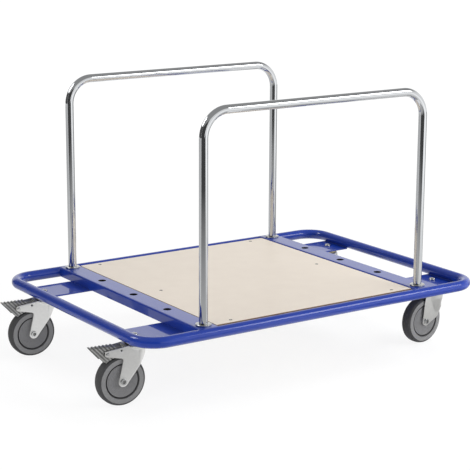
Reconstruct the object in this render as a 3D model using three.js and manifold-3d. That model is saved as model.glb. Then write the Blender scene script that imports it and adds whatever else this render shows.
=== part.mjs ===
// Sheet goods cart: a bent tube frame on four swivelling castors, with a low deck and two
// upright hoops that stand in sockets and lift out. Millimetres, +Z up, +X along the cart.

import * as THREE from 'three';
import { mergeVertices } from 'three/addons/utils/BufferGeometryUtils.js';
import Module from 'manifold-3d';

const wasm = await Module();
wasm.setup();

// Fits
const seatGap = 0.3; // between pieces that are welded, pressed or laid together
const slideGap = 0.4; // round a hoop's spigot in its socket
const runGap = 0.3; // round a bolt, axle or pin in its hole
const raceGap = 0.4; // between the fixed race and the turning crown

// Castor wheel
const wheelDiameter = 125;
const tyreWidth = 31;
const treadWidth = 14; // flat middle of the tread
const tyreSeat = 42; // radius where the tyre sits on the wheel centre
const hubRadius = 11;
const axleDiameter = 8;
const axleHead = 15; // diameter of the axle's round head
const axleHeadHeight = 3;
const axleSocket = 9.5; // recess in the axle's head
const axleNut = 13; // across flats
const axleNutHeight = 6;

// Castor fork and swivel
const trail = 39; // from the king bolt back to the axle
const trailTurn = 5; // degrees that each castor stands turned from straight
const forkSheet = 2.5;
const tyreClearance = 2.5; // from the tyre to each cheek
const wheelHeadroom = 23.5; // from the tyre's top to the underside of the crown
const crownRadius = 30;
const legEnd = 13; // radius of the cheek's end round the axle
const headRadius = 26;
const headHeight = 13;
const kingBolt = 12;
const kingHeadRadius = 9;
const kingHeadHeight = 6;

// Brake
const pivotReach = 40.5; // from the axle back to the pedal's pivot
const pivotDrop = 14.5; // from the crown's top down to the pivot
const pivotPin = 5;
const armEnd = 7.5; // radius of the fork arm's end round the pivot
const pedalReach = 80.5; // from the axle back to the pedal's outer edge
const pedalSheet = 2;
const pedalTopWidth = 22;
const pedalClearance = 0.8; // from the pedal's ribs to each cheek
const pedalDepth = 33.5; // from the pedal's top to the skirts' lower edge
const pedalRib = 1.8; // height of the tread ribs
const pedalRibPitch = 9.5;
const pedalRibs = 7;
const shoeGap = 2.8; // from the released brake shoe to the tyre
const shoeDepth = 11;

// Frame
const frameLength = 1050;
const frameWidth = 740;
const frameTube = 28;
const frameWall = 2;
const frameBend = 60; // corner radius on the tube's centreline
const ventHole = 8;

// Castor plates
const castorInset = 55; // from the frame's end to the king bolt
const castorSetIn = 136; // from the frame's side to the king bolt
const plateWidth = 107;
const plateThickness = 4;
const plateRise = 2.7; // plate top above the underside of the frame tube
const plateLap = 25; // length of plate under the cross member

// Cross members
const rowSpacing = 668; // between the two rows of sockets
const socketSetIn = 42; // from the frame's side to the first socket
const socketCount = 5;
const socketWall = 3;
const crossWidth = 56;
const crossSheet = 3;
const crossBend = 3; // bend radius at the middle of the sheet
const shelfWidth = 70;

// Deck
const boardThickness = 12;
const boardDrop = 1.5; // board top below the frame's top
const boardGap = 0.8; // board edge to frame

// Hoops
const hoopTube = 22;
const hoopWall = 2;
const hoopBend = 65;
const hoopRise = 525; // from the frame's top to the top of the hoop
const spigotDiameter = 20;
const collarDiameter = 39;
const collarHeight = 4;
const plugLength = 20;

// Levels, from the floor up
const axleHeight = wheelDiameter / 2;
const forkGap = tyreWidth + 2 * tyreClearance;
const cheekHalf = forkGap / 2 + forkSheet;
const pedalFootWidth = forkGap - 2 * (pedalRib + pedalClearance);
const crownTop = wheelDiameter + wheelHeadroom + forkSheet;
const headBottom = crownTop + raceGap;
const headTop = headBottom + headHeight;
const plateBottom = headTop + seatGap;
const plateTop = plateBottom + plateThickness;
const tubeLevel = plateTop - plateRise + frameTube / 2;
const frameTop = tubeLevel + frameTube / 2;
const crossBottom = plateTop + seatGap;
const boardTop = frameTop - boardDrop;
const boardBottom = boardTop - boardThickness;
const collarBottom = frameTop + seatGap;
const collarTop = collarBottom + collarHeight;
const hoopBottom = collarTop + seatGap;
const hoopLevel = frameTop + hoopRise - hoopTube / 2;

// Places
const rowX = rowSpacing / 2;
const swivelX = frameLength / 2 - castorInset;
const swivelY = frameWidth / 2 - castorSetIn;
const sideY = (frameWidth - frameTube) / 2;
const endX = (frameLength - frameTube) / 2;
const socketPitch = (frameWidth - 2 * socketSetIn) / (socketCount - 1);
const socketY = (i) => (i - (socketCount - 1) / 2) * socketPitch;
const hoopY = socketY(socketCount - 1);
const pivotX = trail + pivotReach;
const pivotZ = crownTop - pivotDrop;

const paint = { color: 0x1f35a3, roughness: 0.28, metalness: 0.1 };
const zinc = { color: 0xc4c6c8, roughness: 0.32, metalness: 0.9 };
const bright = { color: 0xd6d8da, roughness: 0.15, metalness: 1 };
const rubber = { color: 0x4a4a4a, roughness: 0.85, metalness: 0 };
const plastic = { color: 0x777777, roughness: 0.7, metalness: 0 };
const laminate = { color: 0xe0d6c8, roughness: 0.5, metalness: 0 };

// Straight legs between corner points, with bends of one centreline radius between them.
class BentRun extends THREE.Curve {
  constructor(corners, bend, bendSteps) {
    super();
    this.stations = [];
    const heading = (a, b) => b.clone().sub(a).normalize();
    corners.forEach((corner, i) => {
      const before = corners[i - 1];
      const after = corners[i + 1];
      if (!before || !after) {
        const tangent = before ? heading(before, corner) : heading(corner, after);
        this.stations.push({ point: corner.clone(), tangent });
        return;
      }
      const into = heading(before, corner);
      const angle = into.angleTo(heading(corner, after));
      const axis = into.clone().cross(heading(corner, after)).normalize();
      const inward = axis.clone().cross(into);
      const centre = corner.clone().addScaledVector(into, -bend * Math.tan(angle / 2));
      centre.addScaledVector(inward, bend);
      for (let k = 0; k <= bendSteps; k += 1) {
        const turn = (angle * k) / bendSteps;
        const spoke = inward.clone().applyAxisAngle(axis, turn);
        this.stations.push({
          point: centre.clone().addScaledVector(spoke, -bend),
          tangent: into.clone().applyAxisAngle(axis, turn),
        });
      }
    });
    this.steps = this.stations.length - 1;
  }

  getPointAt(u, target = new THREE.Vector3()) {
    return target.copy(this.stations[Math.round(u * this.steps)].point);
  }

  getTangentAt(u, target = new THREE.Vector3()) {
    return target.copy(this.stations[Math.round(u * this.steps)].tangent);
  }
}

const point = (x, y, z = 0) => new THREE.Vector3(x, y, z);

function polygon(radius, sides, turn = 0) {
  const at = (k) => turn + (2 * Math.PI * k) / sides;
  const corner = (_, k) => new THREE.Vector2(radius * Math.cos(at(k)), radius * Math.sin(at(k)));
  return Array.from({ length: sides }, corner);
}

// The corner radius of a polygon whose flat faces stand at the given radius.
const cornerRadius = (radius, sides) => radius / Math.cos(Math.PI / sides);

function tubeAlong(run, diameter, wall) {
  const section = new THREE.Shape(polygon(diameter / 2, 16));
  section.holes.push(new THREE.Path(polygon(cornerRadius(diameter / 2 - wall, 8), 8)));
  return new THREE.ExtrudeGeometry(section, { steps: run.steps, extrudePath: run });
}

// The closed outline of a folded sheet, from the line along its middle.
function foldedSheet(middle, bend, thickness, bendSteps = 2) {
  const run = new BentRun(middle.map(([x, y]) => point(x, y)), bend, bendSteps);
  const side = (shift) =>
    run.stations.map(({ point: p, tangent: t }) => new THREE.Vector2(p.x - shift * t.y, p.y + shift * t.x));
  return new THREE.Shape([...side(-thickness / 2), ...side(thickness / 2).reverse()]);
}

// An outline drawn in length and height, drawn out across the width and centred there.
function acrossWidth(shape, width, curveSegments = 3) {
  const drawn = new THREE.ExtrudeGeometry(shape, { depth: width, bevelEnabled: false, curveSegments });
  return drawn.rotateX(Math.PI / 2).translate(0, width / 2, 0);
}

// An outline drawn in width and height, drawn out along the length from a start.
function alongLength(shape, start, length) {
  const drawn = new THREE.ExtrudeGeometry(shape, { depth: length, bevelEnabled: false });
  return drawn.rotateX(Math.PI / 2).rotateZ(Math.PI / 2).translate(start, 0, 0);
}

// An outline drawn in plan, drawn up from a level.
function upFrom(level, shape, height, curveSegments) {
  const drawn = new THREE.ExtrudeGeometry(shape, { depth: height, bevelEnabled: false, curveSegments });
  return drawn.translate(0, 0, level);
}

function revolve(profile, sides) {
  return new THREE.LatheGeometry(
    profile.map(([r, z]) => new THREE.Vector2(r, z)),
    sides,
    Math.PI / sides,
  );
}

const upright = (profile, sides) => revolve(profile, sides).rotateX(Math.PI / 2);

function rod(radius, low, high, sides) {
  return upright([[0, low], [radius, low], [radius, high], [0, high]], sides);
}

function crossHole(radius, length, x, z, sides) {
  const corner = cornerRadius(radius, sides);
  return new THREE.CylinderGeometry(corner, corner, length, sides).translate(x, 0, z);
}

function solid(geometry) {
  const bare = geometry.clone();
  bare.deleteAttribute('normal');
  bare.deleteAttribute('uv');
  const merged = mergeVertices(bare, 1e-4);
  return new wasm.Manifold(
    new wasm.Mesh({
      numProp: 3,
      vertProperties: merged.attributes.position.array,
      triVerts: new Uint32Array(merged.index.array),
    }),
  );
}

function geometry(manifold) {
  const { vertProperties, triVerts } = manifold.getMesh();
  const made = new THREE.BufferGeometry();
  made.setAttribute('position', new THREE.BufferAttribute(vertProperties, 3));
  made.setIndex(new THREE.BufferAttribute(triVerts, 1));
  const flat = made.toNonIndexed();
  flat.computeVertexNormals();
  return flat;
}

const join = (first, ...others) => others.reduce((sum, g) => sum.add(solid(g)), solid(first));
const cut = (body, ...tools) => tools.reduce((rest, g) => rest.subtract(solid(g)), body);

function piece(name, shape, look) {
  const mesh = new THREE.Mesh(shape, new THREE.MeshStandardMaterial(look));
  mesh.name = name;
  return mesh;
}

// Frame tube: two bent halves welded into one loop, vented underneath.
function frameLoop() {
  const corners = [point(0, -sideY), point(-endX, -sideY), point(-endX, sideY), point(0, sideY)];
  const half = tubeAlong(new BentRun(corners, frameBend, 5), frameTube, frameWall);
  const loop = join(half, half.clone().rotateZ(Math.PI));
  const vent = (x) => rod(ventHole / 2, -frameTube, 0, 8).translate(x, 0, 0);
  return geometry(cut(loop, vent(endX), vent(-endX))).translate(0, 0, tubeLevel);
}

// Cross member: outer web, socket face, step and deck shelf in one folded sheet, with
// sleeves under the socket holes and ends coped to the side tubes.
function crossMember() {
  const skin = crossSheet / 2;
  const shelfLevel = boardBottom - seatGap - skin;
  const outer = rowX + crossWidth / 2 - skin;
  const inner = rowX - crossWidth / 2 + skin;
  const middle = [
    [outer, crossBottom],
    [outer, frameTop - skin],
    [inner, frameTop - skin],
    [inner, shelfLevel],
    [inner - shelfWidth, shelfLevel],
    [inner - shelfWidth, crossBottom],
  ];
  const sheet = acrossWidth(foldedSheet(middle, crossBend, crossSheet), frameWidth - frameTube);
  const bore = spigotDiameter / 2 + slideGap;
  const rows = Array.from({ length: socketCount }, (_, i) => socketY(i));
  const sleeve = (y) => rod(bore + socketWall, crossBottom, frameTop - skin, 12).translate(rowX, y, 0);
  const hole = (y) => rod(cornerRadius(bore, 12), crossBottom - 1, frameTop + 1, 12).translate(rowX, y, 0);
  const copeRadius = cornerRadius(frameTube / 2 + seatGap, 16);
  const cope = (y) =>
    new THREE.CylinderGeometry(copeRadius, copeRadius, frameLength, 16)
      .rotateZ(Math.PI / 2)
      .translate(0, y, tubeLevel);
  const body = join(sheet, ...rows.map(sleeve));
  return geometry(cut(body, ...rows.map(hole), cope(sideY), cope(-sideY)));
}

// Castor plate: from under the cross member to the lower flank of the end tube.
function castorPlate() {
  const below = tubeLevel - plateTop;
  const flank = Math.sqrt(Math.max(0, (frameTube / 2) ** 2 - below ** 2));
  const start = rowX + crossWidth / 2 - plateLap;
  const end = endX - flank - seatGap;
  const plan = new THREE.Shape();
  plan.moveTo(start, -plateWidth / 2);
  plan.lineTo(end, -plateWidth / 2);
  plan.lineTo(end, plateWidth / 2);
  plan.lineTo(start, plateWidth / 2);
  const hole = polygon(cornerRadius(kingBolt / 2 + runGap, 12), 12);
  plan.holes.push(new THREE.Path(hole.map((corner) => corner.setX(corner.x + swivelX))));
  return upFrom(plateBottom, plan, plateThickness);
}

function deckBoard() {
  const halfX = rowX - crossWidth / 2 - boardGap;
  const halfY = frameWidth / 2 - frameTube - boardGap;
  const round = boardThickness / 4;
  const plan = new THREE.Shape();
  plan.absarc(halfX - round, halfY - round, round, 0, Math.PI / 2);
  plan.absarc(round - halfX, halfY - round, round, Math.PI / 2, Math.PI);
  plan.absarc(round - halfX, round - halfY, round, Math.PI, 1.5 * Math.PI);
  plan.absarc(halfX - round, round - halfY, round, 1.5 * Math.PI, 2 * Math.PI);
  return upFrom(boardBottom, plan, boardThickness, 2);
}

function hoop() {
  const corners = [
    point(-rowX, 0, hoopBottom),
    point(-rowX, 0, hoopLevel),
    point(rowX, 0, hoopLevel),
    point(rowX, 0, hoopBottom),
  ];
  return tubeAlong(new BentRun(corners, hoopBend, 5), hoopTube, hoopWall);
}

// Hoop foot: spigot below, collar on the socket face, plug up inside the tube.
function hoopFoot() {
  const spigot = spigotDiameter / 2;
  const plug = hoopTube / 2 - hoopWall - seatGap;
  const collar = collarDiameter / 2;
  const ease = collarHeight / 4;
  const profile = [
    [0, crossBottom],
    [spigot - 2 * ease, crossBottom],
    [spigot, crossBottom + 2 * ease],
    [spigot, collarBottom],
    [collar, collarBottom],
    [collar, collarTop - ease],
    [collar - ease, collarTop],
    [plug, collarTop],
    [plug, hoopBottom + plugLength],
    [0, hoopBottom + plugLength],
  ];
  return upright(profile, 12);
}

// The castor is drawn about its king bolt: +X runs back to the axle, Y is across the wheel.

function kingBoltBody() {
  const shank = kingBolt / 2;
  const rivet = kingHeadRadius - 1;
  const crownUnder = crownTop - forkSheet - runGap;
  const dome = plateTop + seatGap;
  const profile = [
    [0, crownUnder - shank],
    [rivet, crownUnder - shank],
    [rivet, crownUnder],
    [shank, crownUnder],
    [shank, dome],
    [kingHeadRadius, dome],
    [kingHeadRadius, dome + 0.3 * kingHeadHeight],
    [0.75 * kingHeadRadius, dome + 0.8 * kingHeadHeight],
    [0, dome + kingHeadHeight],
  ];
  return upright(profile, 10);
}

// Swivel head: the upper race, a shouldered ring with a groove above the crown.
function swivelHead() {
  const bore = kingBolt / 2 + runGap;
  const at = (part) => headBottom + part * headHeight;
  const profile = [
    [bore, at(0)],
    [headRadius, at(0)],
    [headRadius, at(0.4)],
    [0.84 * headRadius, at(0.55)],
    [0.95 * headRadius, at(0.7)],
    [0.95 * headRadius, at(1)],
    [bore, at(1)],
    [bore, at(0)],
  ];
  return upright(profile, 12);
}

// The side view of a cheek; a braked castor's has an arm back to the pedal's pivot, a
// plain one's has a deeper apron at the front.
function cheekOutline(braked) {
  const front = -crownRadius - 1;
  const side = new THREE.Shape();
  side.moveTo(front, crownTop + 1);
  if (braked) {
    side.lineTo(front, crownTop - 0.4 * crownRadius);
    side.lineTo(-0.25 * crownRadius, axleHeight + 2.9 * legEnd);
  } else {
    side.lineTo(front, crownTop - 0.9 * crownRadius);
    side.lineTo(-0.57 * crownRadius, axleHeight + 2.4 * legEnd);
    side.lineTo(-0.15 * crownRadius, axleHeight + 0.5 * legEnd);
  }
  side.absarc(trail, axleHeight, legEnd, (braked ? 1.2 : 1.4) * Math.PI, 1.96 * Math.PI);
  if (braked) {
    const throat = pivotZ - armEnd - 8;
    side.lineTo(trail + 0.5, throat - legEnd / 2);
    side.quadraticCurveTo(trail - 1, throat, trail + 0.7 * legEnd, throat + 1);
    side.absarc(pivotX, pivotZ, armEnd, -0.45 * Math.PI, 0.46 * Math.PI);
    side.lineTo(crownRadius - 3, crownTop - 0.5);
    side.lineTo(crownRadius - 3, crownTop + 1);
  } else {
    side.lineTo(trail + 0.5 * legEnd, crownTop - 1.15 * crownRadius);
    side.quadraticCurveTo(trail, crownTop - 0.4 * crownRadius, crownRadius, crownTop - 4);
    side.lineTo(crownRadius, crownTop + 1);
  }
  return side;
}

// Fork: a pressed shell with two flat cheeks, open where the wheel turns. A plain one widens
// in a cone to its crown; a braked one has a raked nose as wide as its cheeks and a solid
// collar that flares out to the crown.
function fork(braked) {
  const low = axleHeight - legEnd - 1;
  const reach = pivotX + armEnd + 1;
  const flatStart = braked ? 0 : -0.6 * crownRadius;
  const coneFoot = braked ? crownTop - 0.45 * crownRadius : axleHeight + 1.4 * legEnd;
  const shoulder = crownTop - (braked ? 0.15 : 1) * crownRadius;
  const rakeFoot = axleHeight + 2.2 * legEnd;
  const rake = (crownRadius - cheekHalf) / (crownTop - rakeFoot);
  const skin = (inset, bottom, top) => {
    const narrow = cheekHalf - inset;
    const wide = crownRadius - inset;
    const ease = 1.4 * forkSheet - inset / 2;
    const start = braked ? [[0, coneFoot]] : [[0, bottom], [narrow, bottom]];
    const cone = upright(
      [
        ...start,
        [narrow, coneFoot],
        [wide, shoulder],
        [wide, top - ease],
        [wide - ease, top],
        [0, top],
      ],
      braked ? 12 : 16,
    );
    const slab = new THREE.BoxGeometry(reach - flatStart, 2 * narrow, top - bottom);
    slab.translate((reach + flatStart) / 2, 0, (top + bottom) / 2);
    if (!braked) {
      return join(cone, slab);
    }
    const leaning = new THREE.Matrix4().makeShear(0, 0, 0, 0, -rake, 0);
    const nose = rod(narrow, bottom, top, 12).applyMatrix4(leaning).translate(rake * rakeFoot, 0, 0);
    return inset > 0 ? join(slab, nose) : join(slab, nose, cone);
  };
  const rear = new THREE.BoxGeometry(reach, forkGap, crownTop);
  rear.translate(crownRadius + reach / 2, 0, crownTop / 2 + 1);
  const wheelRoom = crossHole(wheelDiameter / 2 + 2 * tyreClearance, forkGap, trail, axleHeight, 24);
  const side = solid(acrossWidth(cheekOutline(braked), 2 * crownRadius + 2));
  const outside = skin(0, low, crownTop).intersect(side);
  const shell = outside.subtract(skin(forkSheet, low - 1, crownTop - forkSheet));
  const holes = [
    rod(cornerRadius(kingBolt / 2 + runGap, 12), crownTop - 2 * forkSheet, crownTop + 1, 12),
    crossHole(axleDiameter / 2 + runGap, 3 * crownRadius, trail, axleHeight, 12),
  ];
  if (braked) {
    holes.push(crossHole(pivotPin / 2 + runGap, 3 * crownRadius, pivotX, pivotZ, 10));
    holes.push(crossHole(pivotPin / 2, 3 * crownRadius, trail + 4, crownTop - 10, 8));
  }
  return geometry(cut(shell, rear, wheelRoom, ...holes));
}

const wheelSides = 24;

function tyre() {
  const tread = cornerRadius(wheelDiameter / 2, wheelSides);
  const depth = wheelDiameter / 2 - tyreSeat;
  const half = tyreWidth / 2;
  const seat = tyreSeat + seatGap;
  const flank = [
    [seat, half],
    [seat + 0.66 * depth, half],
    [seat + 0.9 * depth, half - 0.18 * depth],
    [tread, treadWidth / 2],
  ];
  const mirrored = flank.map(([r, y]) => [r, -y]);
  return revolve([...mirrored, ...flank.reverse(), mirrored[0]], wheelSides);
}

// Wheel centre: hub boss, dished disc and the seat under the tyre.
function wheelCentre() {
  const bore = axleDiameter / 2 + runGap;
  const boss = forkGap / 2 - 1;
  const disc = tyreWidth / 2 - 2;
  const flank = [
    [bore, boss],
    [hubRadius, boss],
    [hubRadius + 2, disc],
    [tyreSeat, disc],
  ];
  const mirrored = flank.map(([r, y]) => [r, -y]);
  return revolve([...mirrored, ...flank.reverse(), mirrored[0]], wheelSides);
}

const axleFace = cheekHalf + seatGap;

// Axle bolt: a round head with a recess outside one cheek, the shank's end past the nut.
function axleBolt() {
  const shank = axleDiameter / 2;
  const end = -axleFace - axleNutHeight - 2;
  const top = axleFace + axleHeadHeight;
  const floor = top - 0.7 * axleHeadHeight;
  const profile = [
    [0, end],
    [shank, end],
    [shank, axleFace],
    [axleHead / 2, axleFace],
    [axleHead / 2, top],
    [axleSocket / 2, top],
    [axleSocket / 2, floor],
    [0, floor],
  ];
  return revolve(profile, 10).translate(trail, 0, axleHeight);
}

function axleNutBody() {
  const outline = new THREE.Shape(polygon(cornerRadius(axleNut / 2, 6), 6, Math.PI / 6));
  outline.holes.push(new THREE.Path(polygon(cornerRadius(axleDiameter / 2 + runGap, 12), 12)));
  const nut = acrossWidth(outline, axleNutHeight);
  return nut.translate(trail, -axleFace - axleNutHeight / 2, axleHeight);
}

// The pedal's cross section, a hood with flared skirts, grown outwards by an allowance.
function hoodSection(grow, thickness) {
  const skin = thickness / 2 - grow;
  const top = crownTop - skin;
  const foot = crownTop - pedalDepth - grow;
  const middle = [
    [-pedalFootWidth / 2 + skin, foot],
    [-pedalTopWidth / 2 + skin, top],
    [pedalTopWidth / 2 - skin, top],
    [pedalFootWidth / 2 - skin, foot],
  ];
  return foldedSheet(middle, thickness, thickness);
}

// Brake pedal: a pressed hood with a raked front and ribs that follow the rake, and the
// shoe that swings against the tread carried between its skirts.
function brakePedal() {
  const back = trail;
  const front = trail + pedalReach;
  const foot = crownTop - pedalDepth;
  const rake = 0.92 * pedalDepth;
  const high = crownTop + 2 * pedalRib;
  const drop = (z) => ((crownTop - z) * rake) / pedalDepth;
  const side = new THREE.Shape();
  side.moveTo(back, high);
  side.lineTo(back, crownTop - 0.55 * pedalDepth);
  side.lineTo(front - rake - pedalDepth / 2, foot + pedalSheet);
  side.lineTo(front - drop(foot), foot);
  side.lineTo(front - drop(high), high);
  const profile = solid(acrossWidth(side, 2 * pedalFootWidth));
  const hood = solid(alongLength(hoodSection(0, pedalSheet), back, pedalReach + 10)).intersect(profile);
  const crust = solid(alongLength(hoodSection(pedalRib, pedalSheet + pedalRib / 2), back, pedalReach + 10));
  const ribAt = (k) => {
    const x = front - 1.5 - k * pedalRibPitch;
    const band = new THREE.Shape();
    band.moveTo(x - drop(high), high);
    band.lineTo(x - 4 - drop(high), high);
    band.lineTo(x - 4 - drop(foot), foot);
    band.lineTo(x - drop(foot), foot);
    return solid(acrossWidth(band, 2 * pedalFootWidth));
  };
  const bands = Array.from({ length: pedalRibs }, (_, k) => ribAt(k));
  const ribs = bands.map((band) => crust.intersect(band).intersect(profile));
  const inner = wheelDiameter / 2 + shoeGap;
  const arc = new THREE.Shape();
  arc.absarc(trail, axleHeight, inner + shoeDepth, 0.28 * Math.PI, 0.36 * Math.PI);
  arc.absarc(trail, axleHeight, inner, 0.36 * Math.PI, 0.28 * Math.PI, true);
  const shoe = acrossWidth(arc, pedalFootWidth - pedalSheet);
  const body = ribs.reduce((sum, rib) => sum.add(rib), hood).add(solid(shoe));
  const bore = crossHole(pivotPin / 2 + runGap, 2 * pedalFootWidth, pivotX, pivotZ, 10);
  return geometry(cut(body, bore));
}

function pivotRivet() {
  const half = cheekHalf + seatGap;
  const head = 0.75 * pivotPin;
  const flank = [
    [pivotPin / 2, half],
    [head, half],
    [0.6 * head, half + 0.25 * pivotPin],
    [0, half + 0.25 * pivotPin],
  ];
  const mirrored = flank.map(([r, y]) => [r, -y]).reverse();
  return revolve([...mirrored, ...flank], 8).translate(pivotX, 0, pivotZ);
}

function castor(place, braked) {
  const set = new THREE.Group();
  const onAxle = (mesh) => {
    mesh.position.set(trail, 0, axleHeight);
    return mesh;
  };
  set.add(
    piece(`king_bolt_${place}`, kingBoltBody(), bright),
    piece(`swivel_head_${place}`, swivelHead(), zinc),
    piece(`fork_${place}`, fork(braked), zinc),
    piece(`axle_bolt_${place}`, axleBolt(), zinc),
    piece(`axle_nut_${place}`, axleNutBody(), zinc),
    onAxle(piece(`wheel_centre_${place}`, wheelCentre(), plastic)),
    onAxle(piece(`tyre_${place}`, tyre(), rubber)),
  );
  if (braked) {
    set.add(
      piece(`brake_pedal_${place}`, brakePedal(), zinc),
      piece(`pivot_pin_${place}`, pivotRivet(), zinc),
    );
  }
  return set;
}

const cart = new THREE.Group();
cart.add(piece('frame_tube', frameLoop(), paint));
cart.add(piece('deck_board', deckBoard(), laminate));

for (const [end, sign] of [['left', -1], ['right', 1]]) {
  const half = new THREE.Group();
  half.rotation.z = sign < 0 ? Math.PI : 0;
  half.add(piece(`cross_member_${end}`, crossMember(), paint));
  for (const [side, hand] of [['near', -1], ['far', 1]]) {
    const place = `${end}_${side}`;
    const plate = piece(`castor_plate_${place}`, castorPlate(), paint);
    plate.position.y = hand * sign * swivelY;
    half.add(plate);
    const set = castor(place, sign < 0);
    set.position.set(sign * swivelX, hand * swivelY, 0);
    set.rotation.z = Math.PI + sign * THREE.MathUtils.degToRad(trailTurn);
    cart.add(set);
  }
  cart.add(half);
}

for (const [side, hand] of [['near', -1], ['far', 1]]) {
  const frame = new THREE.Group();
  frame.position.y = hand * hoopY;
  frame.add(piece(`hoop_${side}`, hoop(), bright));
  for (const [end, sign] of [['left', -1], ['right', 1]]) {
    const foot = piece(`hoop_foot_${side}_${end}`, hoopFoot(), bright);
    foot.position.x = sign * rowX;
    frame.add(foot);
  }
  cart.add(frame);
}

// The origin is on the floor under the middle of the whole outline, pedals included.
const extent = new THREE.Box3().setFromObject(cart, true);
cart.position.x = -(extent.min.x + extent.max.x) / 2;

const group = new THREE.Group();
group.add(cart);

export default group;
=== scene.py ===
"""Looks of the sheet goods cart: a bent tube frame with a low deck, two hoops that lift out
of their sockets, and four swivel castors, the left pair with brake pedals."""

import math

import bmesh
import bpy
from mathutils import Matrix, Vector


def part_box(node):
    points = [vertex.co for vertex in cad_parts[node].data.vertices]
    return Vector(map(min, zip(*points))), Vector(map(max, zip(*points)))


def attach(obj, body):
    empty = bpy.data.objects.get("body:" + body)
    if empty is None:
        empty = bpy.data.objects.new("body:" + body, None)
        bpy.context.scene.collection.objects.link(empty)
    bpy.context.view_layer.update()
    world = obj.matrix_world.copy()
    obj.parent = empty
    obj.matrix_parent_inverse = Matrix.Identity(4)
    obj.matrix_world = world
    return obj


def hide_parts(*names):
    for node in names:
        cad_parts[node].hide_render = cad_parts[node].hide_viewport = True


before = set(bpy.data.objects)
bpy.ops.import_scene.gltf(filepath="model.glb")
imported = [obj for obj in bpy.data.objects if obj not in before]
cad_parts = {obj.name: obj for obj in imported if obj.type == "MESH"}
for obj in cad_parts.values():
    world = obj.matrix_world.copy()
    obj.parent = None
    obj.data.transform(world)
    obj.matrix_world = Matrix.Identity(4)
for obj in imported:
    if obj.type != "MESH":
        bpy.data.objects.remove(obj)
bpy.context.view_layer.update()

# Pieces are drawn in millimetres in the cart's own frame and scaled to metres once, at the end.
MM = 0.001
SHARP = math.radians(32)


def mid_mm(node):
    low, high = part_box(node)
    return (low + high) / 2 / MM


def low_mm(node):
    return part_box(node)[0] / MM


def high_mm(node):
    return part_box(node)[1] / MM


# Materials


def colour(code):
    """An sRGB hex colour as linear light."""
    parts = [int(code[i : i + 2], 16) / 255 for i in (1, 3, 5)]
    return (*[p / 12.92 if p <= 0.04045 else ((p + 0.055) / 1.055) ** 2.4 for p in parts], 1)


def add(tree, kind, inputs=None, **settings):
    """A node with its settings; each input is a value, or an output socket to link from."""
    node = tree.nodes.new(kind)
    for key, value in settings.items():
        setattr(node, key, value)
    for name, value in (inputs or {}).items():
        if isinstance(value, bpy.types.NodeSocket):
            tree.links.new(value, node.inputs[name])
        else:
            node.inputs[name].default_value = value
    return node


def start_finish(name):
    made = bpy.data.materials.new(name)
    made.use_nodes = True
    made.node_tree.nodes.clear()
    place = add(made.node_tree, "ShaderNodeTexCoord").outputs["Object"]
    return made, made.node_tree, place


def end_finish(tree, **inputs):
    named = {key.replace("_", " "): value for key, value in inputs.items()}
    shader = add(tree, "ShaderNodeBsdfPrincipled", named)
    add(tree, "ShaderNodeOutputMaterial", {"Surface": shader.outputs["BSDF"]})


def per_mm(size):
    """The texture scale that gives cells of a size in millimetres."""
    return 1 / (size * MM)


def blue_powder_coat():
    # Baked polyester powder: deep blue under a clear gloss skin, with a faint orange peel.
    # The peel's cells are about 1.5 mm and are drawn at 5 mm so that they show.
    made, tree, place = start_finish("powder_coated_steel_blue")
    peel = add(tree, "ShaderNodeTexNoise", {"Vector": place, "Scale": per_mm(5), "Detail": 2})
    cloud = add(tree, "ShaderNodeTexNoise", {"Vector": place, "Scale": per_mm(90), "Detail": 2})
    tint = add(
        tree,
        "ShaderNodeMix",
        {"Factor": cloud.outputs["Fac"], 6: colour("#10308e"), 7: colour("#15389b")},
        data_type="RGBA",
    )
    gloss = add(
        tree,
        "ShaderNodeMapRange",
        {"Value": peel.outputs["Fac"], "To Min": 0.32, "To Max": 0.42},
    )
    bump = add(
        tree,
        "ShaderNodeBump",
        {"Height": peel.outputs["Fac"], "Strength": 0.06, "Distance": 0.0004},
    )
    end_finish(
        tree,
        Base_Color=tint.outputs[2],
        Roughness=gloss.outputs["Result"],
        Normal=bump.outputs["Normal"],
        IOR=1.5,
        Specular_IOR_Level=0.2,
        Coat_Weight=0.85,
        Coat_Roughness=0.03,
    )
    return made


def plated_steel(name, light, dark, grain, rough, bump_strength=0.05, metal=1.0):
    """Zinc over steel: two greys in patches of a grain size, roughness in a range."""
    made, tree, place = start_finish(name)
    spangle = add(
        tree,
        "ShaderNodeTexNoise",
        {"Vector": place, "Scale": per_mm(grain), "Detail": 4, "Roughness": 0.6},
    )
    tint = add(
        tree,
        "ShaderNodeMix",
        {"Factor": spangle.outputs["Fac"], 6: colour(dark), 7: colour(light)},
        data_type="RGBA",
    )
    satin = add(
        tree,
        "ShaderNodeMapRange",
        {"Value": spangle.outputs["Fac"], "To Min": rough[0], "To Max": rough[1]},
    )
    bump = add(
        tree,
        "ShaderNodeBump",
        {"Height": spangle.outputs["Fac"], "Strength": bump_strength, "Distance": 0.0003},
    )
    end_finish(
        tree,
        Base_Color=tint.outputs[2],
        Metallic=metal,
        Roughness=satin.outputs["Result"],
        Normal=bump.outputs["Normal"],
    )
    return made


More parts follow.
